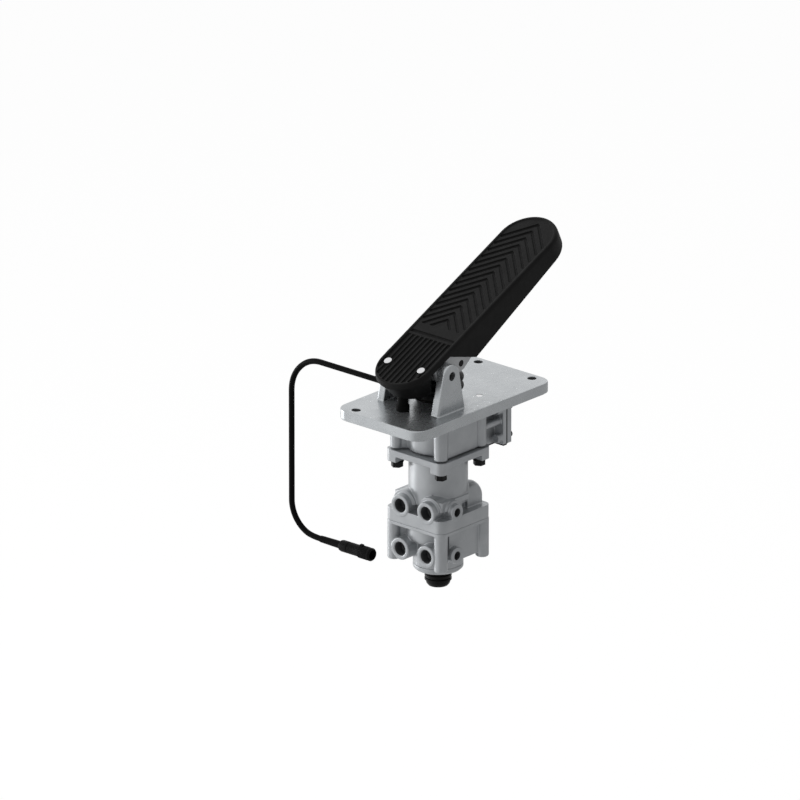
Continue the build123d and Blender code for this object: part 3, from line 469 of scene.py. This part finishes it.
def dressed(obj, body, slot, *replaced, finish=None):
    """Gives a new piece its body, its finish and the CAD nodes it stands for."""
    painted(obj, finish or slot)
    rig.ride(obj, body)
    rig.slot(obj, slot)
    if replaced:
        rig.replaces(obj, *replaced)
    return obj


# Camera, lamps, floor
def make_camera():
    back = Vector((
        math.sin(VIEW_AZIMUTH) * math.cos(VIEW_ELEVATION),
        -math.cos(VIEW_AZIMUTH) * math.cos(VIEW_ELEVATION),
        math.sin(VIEW_ELEVATION),
    ))
    data = bpy.data.cameras.new("camera")
    data.lens = VIEW_LENS
    data.sensor_width = 36
    data.clip_end = 100
    camera = link(bpy.data.objects.new("camera", data))
    camera.location = VIEW_CENTRE + back * VIEW_DISTANCE
    camera.rotation_euler = (-back).to_track_quat("-Z", "Y").to_euler()
    bpy.context.scene.camera = camera


def lamp(name, place, size, power, mirrored):
    """A soft square lamp aimed at the object."""
    data = bpy.data.lights.new(name, "AREA")
    data.size = size
    data.energy = power
    made = link(bpy.data.objects.new(name, data))
    made.location = place
    made.rotation_euler = (VIEW_CENTRE - Vector(place)).to_track_quat("-Z", "Y").to_euler()
    made.visible_glossy = mirrored


def make_world():
    """White to the camera; as a light it is brighter from above and the far left than from the near right."""
    world = bpy.data.worlds.new("studio")
    world.use_nodes = True
    tree = world.node_tree
    background = tree.nodes["Background"]
    background.inputs["Color"].default_value = (1, 1, 1, 1)
    place = tree.nodes.new("ShaderNodeTexCoord")
    side = node(tree, "ShaderNodeVectorMath", operation="DOT_PRODUCT")
    tree.links.new(place.outputs["Generated"], side.inputs[0])
    side.inputs[1].default_value = Vector(BRIGHT_SIDE).normalized()
    path = tree.nodes.new("ShaderNodeLightPath")
    matt = spread(tree, side.outputs["Value"], *SIDE_RANGE, *MATT_LIGHT)
    mirrored = spread(tree, side.outputs["Value"], *SIDE_RANGE, *MIRRORED_LIGHT)
    seen = node(tree, "ShaderNodeMath", operation="MAXIMUM")
    tree.links.new(path.outputs["Is Camera Ray"], seen.inputs[0])
    tree.links.new(path.outputs["Is Transmission Ray"], seen.inputs[1])
    light = blended(tree, path.outputs["Is Glossy Ray"], matt, mirrored)
    tree.links.new(blended(tree, seen.outputs[0], light), background.inputs["Strength"])
    bpy.context.scene.world = world


def make_floor():
    """Pale floor far below the part, which hangs from its plate."""
    mesh = bpy.data.meshes.new("floor")
    corners = [(-1, -1), (1, -1), (1, 1), (-1, 1)]
    verts = [(FLOOR_REACH * x, FLOOR_REACH * y, FLOOR_LEVEL) for x, y in corners]
    mesh.from_pydata(verts, [], [(0, 1, 2, 3)])
    floor = new_object("floor", mesh)
    made = bpy.data.materials.new("floor")
    made.use_nodes = True
    tree = made.node_tree
    shader = tree.nodes["Principled BSDF"]
    shader.inputs["Base Color"].default_value = (FLOOR_GREY, FLOOR_GREY, FLOOR_GREY, 1)
    shader.inputs["Roughness"].default_value = 0.9
    glow = node(tree, "ShaderNodeEmission", Strength=1.0)
    path = tree.nodes.new("ShaderNodeLightPath")
    share = node(tree, "ShaderNodeMath", operation="MULTIPLY")
    share.inputs[1].default_value = FLOOR_GLOW
    tree.links.new(path.outputs["Is Camera Ray"], share.inputs[0])
    mix = tree.nodes.new("ShaderNodeMixShader")
    tree.links.new(share.outputs[0], mix.inputs[0])
    tree.links.new(shader.outputs[0], mix.inputs[1])
    tree.links.new(glow.outputs[0], mix.inputs[2])
    tree.links.new(mix.outputs[0], tree.nodes["Material Output"].inputs["Surface"])
    mesh.materials.append(made)
    floor.visible_glossy = False
    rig.stage(floor)


# Sensor lead
def cable_route():
    """Control points of the lead, from the gland to the plug's sleeve."""
    points = [
        (63, -22.6),
        (227.4, -22.6),
        (267, -22.6),
        (295, -50.6),
        (295, -90.2),
        (295, -203.6),
        (295, -219.5),
        (288.9, -234.2),
        (277.7, -245.4),
        (263, -251.5),
        (247, -251.5),
    ]
    return [(CABLE_X, y * MM, z * MM) for y, z in points]


def make_cable(plug):
    curve = bpy.data.curves.new("sensor_lead", "CURVE")
    curve.dimensions = "3D"
    curve.bevel_depth = CABLE_R
    curve.bevel_resolution = 8
    curve.resolution_u = 24
    curve.use_fill_caps = True
    spline = curve.splines.new("NURBS")
    route = cable_route()
    spline.points.add(len(route) - 1)
    for point, place in zip(spline.points, route):
        point.co = (*place, 1)
    spline.order_u = 3
    spline.use_endpoint_u = True
    lead = link(bpy.data.objects.new("sensor_lead", curve))
    dressed(lead, "valve", "cable_jacket", "sensor_cable")
    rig.cord(
        lead,
        exit=cable_route()[0],
        length=CABLE_LENGTH,
        diameter=2 * CABLE_R,
        far_end="plug",
        stiffness="medium",
        lay="hanging",
        with_pieces=[NODES["plug_sleeve"], plug],
    )


# Cast and moulded pieces
def softened(name, body, slot, voxel=CAST_VOXEL, passes=CAST_PASSES, finish=None, change=None):
    """A node's surface rebuilt with the small rounds of a cast or moulded piece; change alters it before."""
    obj = new_object(name + "_form", NODES[name].data.copy())
    if change:
        change(obj)
    remesh = obj.modifiers.new("remesh", "REMESH")
    remesh.mode = "VOXEL"
    remesh.voxel_size = voxel
    relax = obj.modifiers.new("relax", "SMOOTH")
    relax.factor = 0.5
    relax.iterations = passes
    settled(obj)
    smooth_shaded(obj)
    return dressed(obj, body, slot, name, finish=finish)


def shaded_bores(obj, holes):
    """Paints shade on the walls of holes with a dark second material; holes are (start, end, radius) in millimetres."""
    obj.data.materials.append(MATERIALS["bore_shade"])
    for start, end, radius in holes:
        start, end = Vector(start) * MM, Vector(end) * MM
        run = end - start
        for polygon in obj.data.polygons:
            along = (polygon.center - start).dot(run) / run.length_squared
            if 0 < along < 1 and (start + along * run - polygon.center).length < radius * MM:
                polygon.material_index = 1
    return obj


def port_holes(level):
    """Holes of a body's two main ports and its test port."""
    main = [((PORT_FACE_X + PORT_LIP, y, level), (0, y, level), PORT_R) for y in (-PORT_Y, PORT_Y)]
    side = ((SIDE_PORT_X, SIDE_PORT_FACE_Y + PORT_LIP, level), (SIDE_PORT_X, 0, level), SIDE_PORT_R)
    return main + [side]


def widened(share):
    """Scales a piece of the pedal across and along the tread, about the heel's axis."""
    turn = PEDAL_TURN @ Matrix.Translation((HEEL_U, 0, 0))
    return turn @ Matrix.Diagonal((share, share, 1, 1)) @ turn.inverted()


def off_line(place):
    """Offset of a point of the pedal from its middle line, seen from above the tread."""
    return Vector((place.x - min(max(place.x, HEEL_U), TOE_U), place.y))


def opened_grooves(obj):
    """Widens the ribs' grooves and the far legs of the chevrons."""
    mesh = bmesh.new()
    mesh.from_mesh(obj.data)
    bmesh.ops.remove_doubles(mesh, verts=mesh.verts, dist=WELD)
    mesh.normal_update()
    walls = {}
    for face in mesh.faces:
        place = PEDAL_BACK @ face.calc_center_median()
        facing = PEDAL_BACK.to_3x3() @ face.normal
        if abs(facing.z) > 0.1 or not GROOVE_FLOOR < place.z < FIELD_HIGH:
            continue
        if place.y > 0 or place.x < RIBS_END:
            for vert in face.verts:
                walls.setdefault(vert, set()).add(tuple(round(value, 2) for value in face.normal))
    for vert, normals in walls.items():
        if off_line(PEDAL_BACK @ vert.co).length < PAD_R - EDGE_ACROSS:
            for normal in normals:
                vert.co -= GROOVE_OPENED * Vector(normal)
    mesh.to_mesh(obj.data)
    mesh.free()


def rolled_edge(obj):
    """Rounds the pad's outer edge to a quarter of an ellipse."""
    for vert in obj.data.vertices:
        place = PEDAL_BACK @ vert.co
        offset = off_line(place)
        across = 1 - (PAD_R - offset.length) / EDGE_ACROSS
        up = 1 - (PAD_TOP - place.z) / EDGE_DOWN
        reach = math.hypot(across, up)
        if min(across, up) > 0 and reach > 1:
            inward = EDGE_ACROSS * across * (1 - 1 / reach)
            step = -offset.normalized() * inward
            place += Vector((step.x, step.y, -EDGE_DOWN * up * (1 - 1 / reach)))
            vert.co = PEDAL_TURN @ place


def rounded_corners(obj, half, radius, deep):
    """Rounds the vertical edges of a square flange at the top of a casting."""
    core = half - radius
    low = max(vert.co.z for vert in obj.data.vertices) - deep
    for vert in obj.data.vertices:
        over = Vector((abs(vert.co.x) - core, abs(vert.co.y) - core))
        if vert.co.z > low and min(over) > 0 and over.length > radius:
            over *= radius / over.length
            vert.co.x = math.copysign(core + over.x, vert.co.x)
            vert.co.y = math.copysign(core + over.y, vert.co.y)


def make_gasket():
    """Gasket cut to the spring housing's outline, made from the housing's lower face."""
    mesh = bmesh.new()
    mesh.from_mesh(NODES["spring_housing"].data)
    bmesh.ops.remove_doubles(mesh, verts=mesh.verts, dist=WELD)
    level = min(vert.co.z for vert in mesh.verts)
    upper = [face for face in mesh.faces if max(vert.co.z for vert in face.verts) > level + 1e-5]
    bmesh.ops.delete(mesh, geom=upper, context="FACES")
    added = bmesh.ops.extrude_face_region(mesh, geom=mesh.faces[:])["geom"]
    down = [item for item in added if isinstance(item, bmesh.types.BMVert)]
    bmesh.ops.translate(mesh, verts=down, vec=(0, 0, -GASKET_THICK))
    bmesh.ops.recalc_face_normals(mesh, faces=mesh.faces)
    data = bpy.data.meshes.new("body_gasket_sheet")
    mesh.to_mesh(data)
    mesh.free()
    dressed(new_object("body_gasket_sheet", data), "valve", "gasket_black", "body_gasket")


def edged(name, body, slot, width=FINE_BEVEL):
    """A node's surface with fine bevels on its hard edges."""
    obj = new_object(name + "_form", NODES[name].data.copy())
    mesh = bmesh.new()
    mesh.from_mesh(obj.data)
    bmesh.ops.remove_doubles(mesh, verts=mesh.verts, dist=WELD)
    bmesh.ops.dissolve_limit(
        mesh, angle_limit=math.radians(1), verts=mesh.verts, edges=mesh.edges, delimit={"NORMAL"})
    mesh.to_mesh(obj.data)
    mesh.free()
    bevel = obj.modifiers.new("bevel", "BEVEL")
    bevel.width = width
    bevel.segments = 2
    bevel.limit_method = "ANGLE"
    bevel.angle_limit = math.radians(BEVEL_ANGLE)
    weigh = obj.modifiers.new("weigh", "WEIGHTED_NORMAL")
    weigh.keep_sharp = True
    smooth_shaded(obj)
    settled(obj)
    return dressed(obj, body, slot, name)


# Turned pieces
def rounded(points, passes=2, share=0.25):
    """A closed profile with its corners cut round."""
    for _ in range(passes):
        cut = []
        for here, after in zip(points, points[1:] + points[:1]):
            cut.append(tuple(a + share * (b - a) for a, b in zip(here, after)))
            cut.append(tuple(b - share * (b - a) for a, b in zip(here, after)))
        points = cut
    return points


def lathe(name, profile, place, turn=Matrix(), steps=96, sharp=40, flutes=None):
    """A closed profile of (radius, height) in millimetres, turned about its own axis; turn aims that axis.

    flutes is (count, depth, least radius): the surface outside that radius is fluted.
    """
    verts = []
    for step in range(steps):
        angle = 2 * math.pi * step / steps
        for radius, height in profile:
            if flutes and radius > flutes[2]:
                radius -= flutes[1] * (math.cos(flutes[0] * angle) > 0)
            spot = Vector((radius * math.cos(angle), radius * math.sin(angle), height)) * MM
            verts.append(turn @ spot + Vector(place))
    count = len(profile)
    faces = []
    for step in range(steps):
        here = step * count
        after = (step + 1) % steps * count
        for k in range(count):
            up = (k + 1) % count
            faces.append((here + k, after + k, after + up, here + up))
    mesh = bpy.data.meshes.new(name)
    mesh.from_pydata(verts, [], faces)
    work = bmesh.new()
    work.from_mesh(mesh)
    bmesh.ops.recalc_face_normals(work, faces=work.faces)
    work.to_mesh(mesh)
    work.free()
    obj = smooth_shaded(new_object(name, mesh))
    mesh.set_sharp_from_angle(angle=math.radians(sharp))
    return obj


def make_boot():
    """Bellows between the plate and the plunger's head, which fold flat as the plunger goes down."""
    folds = (15, 26)
    fold_r = 30.9
    hollow_r = 29.1
    lip_r = 9.65
    outer = [(28.2, 0), (28.2, 1.6), (26.4, 2.6), (25.6, 8.2)]
    for middle in folds:
        outer += [(26.2, middle - 4.4), (fold_r, middle - 2.6), (fold_r, middle + 2.6)]
        outer += [(26.2, middle + 4.4), (24.9, middle + 5.5)]
    outer += [(23.6, 32.6), (15.2, 35.6), (lip_r, 35.8)]
    inner = [(lip_r, 33.2), (14.4, 33.2), (22.4, 30.8)]
    for middle in reversed(folds):
        inner += [(24.6, middle + 4), (hollow_r, middle + 2), (hollow_r, middle - 2), (24.6, middle - 4)]
    inner += [(24, 8.2), (24.6, 2.6), (26, 0)]
    profile = [(radius, PLATE_TOP / MM + height) for radius, height in rounded(outer + inner)]
    boot = lathe("dust_boot_bellows", profile, (0, 0, 0), sharp=70)
    dressed(boot, "valve", "inner_rubber", "dust_boot")
    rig.squash(boot, "plunger_slide", axis=(0, 0, 1), anchor=(0, 0, PLATE_TOP), keep=BOOT_KEEP)


def make_spring(name, body, joint, fixed_end, travel):
    """A spring that shortens with its joint, towards its lowest or highest point."""
    obj = new_object(name + "_form", NODES[name].data.copy())
    dressed(smooth_shaded(obj), body, SLOTS[name], name)
    obj.data.set_sharp_from_angle(angle=math.radians(40))
    levels = [vert.co.z for vert in obj.data.vertices]
    keep = 1 - travel / (max(levels) - min(levels))
    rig.squash(obj, joint, axis=(0, 0, 1), anchor=(0, 0, fixed_end(levels)), keep=keep)


def make_silencer():
    """Silencer with ridges round its open end."""
    profile = [(9.5, 7), (12, 7), (12, 0), (15.4, 0), (15.4, -1.6)]
    for low in (-4.4, -9.6, -14.8):
        profile += [(16.5, low + 2.2), (16.5, low), (15.0, low - 0.8), (15.0, low - 2.2)]
    profile += [(14.2, -19.6), (12.2, -22), (9.5, -22)]
    silencer = lathe("exhaust_silencer_ribbed", profile, (0, 0, FOOT_LOW), sharp=30)
    dressed(silencer, "valve", "silencer_black", "exhaust_silencer")


def make_plug():
    """Round plug with a fluted coupling ring, a key and an open socket."""
    body_r = 7.25
    ring_r = 8.2
    socket_r = 5.8
    core_r = 0.4
    profile = [(core_r, 1), (5, 0.2), (6.6, 1), (body_r, 3.4), (body_r, 13), (6.8, 13.6), (6.8, 15.4)]
    profile += [(body_r, 16), (body_r, 31), (ring_r, 32), (ring_r, 45), (7.7, 45.6), (7.7, 47)]
    profile += [(ring_r, 47.6), (ring_r, 49.6), (7.2, 51), (socket_r, 51), (socket_r, 41), (core_r, 41)]
    turn = Matrix.Rotation(math.radians(90), 4, "X")
    place = Vector((CABLE_X, PLUG_NECK_Y, CABLE_LOW))
    plug = lathe("cable_plug_turned", profile, place, turn, 192, 30, flutes=(24, 0.45, 8))
    mesh = bmesh.new()
    mesh.from_mesh(plug.data)
    size = Matrix.Diagonal((4 * MM, 5 * MM, 3 * MM, 1))
    above = Matrix.Translation(place + Vector((0, -34, ring_r)) * MM)
    key = bmesh.ops.create_cube(mesh, size=1, matrix=above @ size)
    edges = {edge for vert in key["verts"] for edge in vert.link_edges}
    bmesh.ops.bevel(mesh, geom=list(edges), offset=0.7 * MM, segments=3, affect="EDGES", profile=0.5)
    mesh.to_mesh(plug.data)
    mesh.free()
    dressed(plug, "valve", "plug_black", "cable_plug")
    return plug


make_camera()
plug = make_plug()
make_cable(plug)
make_world()
make_floor()
for name, values in LAMPS.items():
    lamp(name, *values)

plate = softened("pedal_plate", "valve", "cast_aluminium", PLATE_VOXEL, finish="plate_aluminium")
# Painted shade on the walls of the plate's floor holes and, below, of the bodies' ports
shaded_bores(plate, [(*[(x, y, z) for z in FLOOR_HOLE_SPAN], FLOOR_HOLE_R) for x, y in FLOOR_HOLES])
softened("spring_housing", "valve", "cast_aluminium")
upper = softened("upper_body", "valve", "cast_aluminium")
rounded_corners(upper, FLANGE_HALF, FLANGE_CORNER, FLANGE_DEEP)
shaded_bores(upper, port_holes(UPPER_PORTS_Z))
shaded_bores(softened("lower_body", "valve", "cast_aluminium"), port_holes(LOWER_PORTS_Z))
softened("sensor_cover", "valve", "cast_aluminium")
softened("foot_cover", "valve", "cast_aluminium")
softened("treadle_lever", "pedal", "lever_aluminium", LEVER_VOXEL)
rolled_edge(softened("treadle_pad", "pedal", "tread_rubber", PAD_VOXEL, PAD_PASSES, change=opened_grooves))
bowl = softened("heel_block", "pedal", "moulded_black")
bowl.data.transform(widened(BOWL_WIDER))
make_gasket()
bolts = edged("flange_bolts", "valve", "black_steel", BROAD_BEVEL)
bolts.data.materials.append(MATERIALS["bright_steel"])
for polygon in bolts.data.polygons:
    polygon.material_index = int(polygon.center.z > BOLT_END)
edged("body_screws", "valve", "black_steel")
edged("cover_screws", "valve", "black_steel")
edged("pedal_rivets", "pedal", "bright_steel", BROAD_BEVEL)
edged("cable_gland", "valve", "plug_black", BROAD_BEVEL)
make_boot()
for name, values in SPRINGS.items():
    make_spring(name, *values)
make_silencer()

for name, slot in SLOTS.items():
    painted(NODES[name], slot)
# The pivot and roller pins are painted black: painted shade in their recessed ends
for name in ("pivot_pin", "roller_pin"):
    painted(NODES[name], "black_steel")

bpy.context.scene.view_settings.view_transform = "Standard"
low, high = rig.bounds()
sizes = {"cad": [list(CAD_LOW), list(CAD_HIGH)], "visual": [list(low), list(high)]}
with open("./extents.json", "w") as out:
    json.dump(sizes, out)
